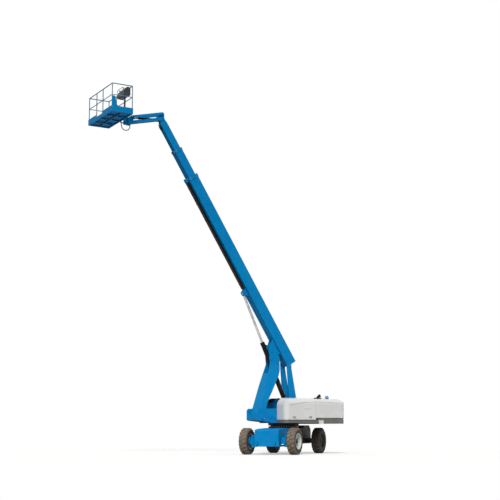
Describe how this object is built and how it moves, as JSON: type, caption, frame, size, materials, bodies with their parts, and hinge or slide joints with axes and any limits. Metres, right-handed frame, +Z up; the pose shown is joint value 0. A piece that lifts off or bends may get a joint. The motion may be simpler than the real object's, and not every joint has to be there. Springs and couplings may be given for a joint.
{
  "type": "telescopic boom lift",
  "caption": "Self-propelled work platform with a three-section telescopic boom on a lifting link, a short jib and a railed basket, on a slewing turntable and rough-terrain wheels.",
  "frame": {"origin": "on the ground, on the slew axis", "axes": "+X along the raised boom, seen from above; +Y to its left; +Z up. The chassis heads 36 degrees left of +X."},
  "size_m": [10.98, 4.2548, 14.6365],
  "materials": {
    "blue_paint": "semi-gloss",
    "grey_paint": "satin",
    "dark_grey_paint": "satin",
    "black_paint": "satin",
    "chrome_rod": "polished",
    "rail_paint": "satin",
    "console_plastic": "matt",
    "hose_rubber": "matt",
    "tyre": "matt",
    "rim_paint": "satin"
  },
  "bodies": {
    "chassis": {"chassis_frame": "blue_paint", "chassis_rear": "black_paint", "slew_ring_lower": "black_paint", "front_axle": "blue_paint", "rear_axle": "black_paint", "steer_cylinder": "black_paint"},
    "steer_rod": {"steer_rod": "chrome_rod"},
    "knuckle_left": {"knuckle_left": "blue_paint"},
    "knuckle_right": {"knuckle_right": "blue_paint"},
    "wheel_front_left": {"tyre_front_left": "tyre", "rim_front_left": "rim_paint"},
    "wheel_front_right": {"tyre_front_right": "tyre", "rim_front_right": "rim_paint"},
    "wheel_rear_left": {"tyre_rear_left": "tyre", "rim_rear_left": "rim_paint"},
    "wheel_rear_right": {"tyre_rear_right": "tyre", "rim_rear_right": "rim_paint"},
    "turntable": {"turntable_frame": "blue_paint", "slew_ring_upper": "black_paint", "turntable_deck": "dark_grey_paint", "counterweight": "grey_paint", "counterweight_base": "dark_grey_paint", "engine_block": "black_paint"},
    "hood_left": {"hood_left": "grey_paint"},
    "hood_right": {"hood_right": "grey_paint"},
    "lift_link": {"lift_link": "blue_paint"},
    "tension_link": {"tension_link": "blue_paint"},
    "boom_base": {"boom_base": "blue_paint", "hose_track": "black_paint"},
    "boom_mid": {"boom_mid": "blue_paint"},
    "boom_fly": {"boom_fly": "blue_paint"},
    "lift_barrel": {"lift_barrel": "black_paint"},
    "lift_rod": {"lift_rod": "chrome_rod"},
    "level_head": {"level_head": "blue_paint"},
    "jib_lower": {"jib_lower": "blue_paint"},
    "jib_upper": {"jib_upper": "blue_paint"},
    "jib_barrel": {"jib_barrel": "black_paint"},
    "jib_rod": {"jib_rod": "chrome_rod"},
    "platform_mount": {"platform_mount": "blue_paint", "platform_hose": "hose_rubber"},
    "platform": {"rotator_bracket": "blue_paint", "platform_floor": "blue_paint", "platform_rails": "rail_paint", "control_box": "console_plastic"},
    "gate": {"platform_gate": "rail_paint"}
  },
  "joints": [
    {"name": "steer_left", "type": "hinge", "parent": "chassis", "child": "knuckle_left", "pos_m": [0.67858, 1.48187, 0.545], "axis": [0, 0, 1], "range_deg": [-35, 35]},
    {"name": "wheel_front_left_spin", "type": "hinge", "parent": "knuckle_left", "child": "wheel_front_left", "pos_m": [0.52869, 1.68817, 0.545], "axis": [-0.5878, 0.809, 0], "continuous": true},
    {"name": "wheel_rear_left_spin", "type": "hinge", "parent": "chassis", "child": "wheel_rear_left", "pos_m": [-1.76892, 0.01886, 0.545], "axis": [-0.5878, 0.809, 0], "continuous": true},
    {"name": "steer_right", "type": "hinge", "parent": "chassis", "child": "knuckle_right", "pos_m": [1.61903, 0.18744, 0.545], "axis": [0, 0, 1], "range_deg": [-35.05, 35.05]},
    {"name": "wheel_front_right_spin", "type": "hinge", "parent": "knuckle_right", "child": "wheel_front_right", "pos_m": [1.76892, -0.01886, 0.545], "axis": [-0.5878, 0.809, 0], "continuous": true},
    {"name": "wheel_rear_right_spin", "type": "hinge", "parent": "chassis", "child": "wheel_rear_right", "pos_m": [-0.52869, -1.68817, 0.545], "axis": [-0.5878, 0.809, 0], "continuous": true},
    {"name": "steer_rod_slide", "type": "slide", "parent": "chassis", "child": "steer_rod", "axis": [-0.5878, 0.809, 0], "range_m": [-0.09824, 0.09824]},
    {"name": "slew", "type": "hinge", "parent": "chassis", "child": "turntable", "pos_m": [0, 0, 0], "axis": [0, 0, 1], "continuous": true},
    {"name": "hood_left_lift", "type": "hinge", "parent": "turntable", "child": "hood_left", "pos_m": [0, 0.46, 2.33], "axis": [1, 0, 0], "range_deg": [0, 65]},
    {"name": "hood_right_lift", "type": "hinge", "parent": "turntable", "child": "hood_right", "pos_m": [0, -0.46, 2.33], "axis": [-1, 0, 0], "range_deg": [0, 65]},
    {"name": "boom_lift", "type": "hinge", "parent": "turntable", "child": "lift_link", "pos_m": [1.28, 0, 1.5], "axis": [0, 1, 0], "range_deg": [-46, 9.85]},
    {"name": "boom_pivot", "type": "hinge", "parent": "lift_link", "child": "boom_base", "pos_m": [0.65, 0, 4.28], "axis": [0, -1, 0], "range_deg": [-102.02, 21.86]},
    {"name": "tension_link_swing", "type": "hinge", "parent": "turntable", "child": "tension_link", "pos_m": [-0.42, 0, 1.45], "axis": [0, 1, 0], "range_deg": [-50.4, 10.81]},
    {"name": "lift_barrel_swing", "type": "hinge", "parent": "lift_link", "child": "lift_barrel", "pos_m": [0.7, 0, 3.93], "axis": [0, -1, 0], "range_deg": [-98.72, 21.16]},
    {"name": "lift_rod_slide", "type": "slide", "parent": "lift_barrel", "child": "lift_rod", "axis": [0.4143, 0, 0.9101], "range_m": [-0.6362, 0.13662]},
    {"name": "telescope", "type": "slide", "parent": "boom_base", "child": "boom_mid", "axis": [0.5299, 0, 0.848], "range_m": [-0.9, 5]},
    {"name": "fly_slide", "type": "slide", "parent": "boom_mid", "child": "boom_fly", "axis": [0.5299, 0, 0.848], "range_m": [-0.901, 5.001]},
    {"name": "head_level", "type": "hinge", "parent": "boom_fly", "child": "level_head", "pos_m": [5.85, 0, 13.78], "axis": [0, 1, 0], "range_deg": [-56.02, 12.01]},
    {"name": "jib_luff", "type": "hinge", "parent": "level_head", "child": "jib_lower", "pos_m": [6.022, 0, 13.695], "axis": [0, -1, 0], "range_deg": [-61.4, 73.6]},
    {"name": "jib_upper_swing", "type": "hinge", "parent": "level_head", "child": "jib_upper", "pos_m": [5.907, 0, 13.94], "axis": [0, -1, 0], "range_deg": [-61.42, 73.62]},
    {"name": "jib_barrel_swing", "type": "hinge", "parent": "level_head", "child": "jib_barrel", "pos_m": [6.022, 0, 13.695], "axis": [0, -1, 0], "range_deg": [-66.95, 80.24]},
    {"name": "jib_rod_slide", "type": "slide", "parent": "jib_barrel", "child": "jib_rod", "axis": [0.9984, 0, -0.0559], "range_m": [-0.19875, 0.23814]},
    {"name": "mount_level", "type": "hinge", "parent": "jib_lower", "child": "platform_mount", "pos_m": [7.30499, 0, 13.38461], "axis": [0, -1, 0], "range_deg": [-73.62, 61.42]},
    {"name": "platform_rotate", "type": "hinge", "parent": "platform_mount", "child": "platform", "pos_m": [7.465, 0, 13.5], "axis": [0, 0, 1], "range_deg": [-80, 80]},
    {"name": "gate_lift", "type": "slide", "parent": "platform", "child": "gate", "axis": [0, 0, 1], "range_m": [0, 0.37]}
  ],
  "couplings": [
    {"joint": "steer_right", "follows": "steer_left", "ratio": 1},
    {"joint": "steer_rod_slide", "follows": "steer_left", "m_per_rad": -0.16},
    {"joint": "boom_pivot", "follows": "boom_lift", "ratio": 2.2174},
    {"joint": "tension_link_swing", "follows": "boom_lift", "ratio": 1.0952},
    {"joint": "lift_barrel_swing", "follows": "boom_lift", "ratio": 2.1457},
    {"joint": "lift_rod_slide", "follows": "boom_lift", "m_per_rad": 0.7918},
    {"joint": "head_level", "follows": "boom_lift", "ratio": 1.2174},
    {"joint": "fly_slide", "follows": "telescope", "ratio": 1},
    {"joint": "jib_upper_swing", "follows": "jib_luff", "ratio": 1},
    {"joint": "jib_barrel_swing", "follows": "jib_luff", "ratio": 1.09},
    {"joint": "jib_rod_slide", "follows": "jib_luff", "m_per_rad": 0.185},
    {"joint": "mount_level", "follows": "jib_luff", "ratio": -1}
  ]
}
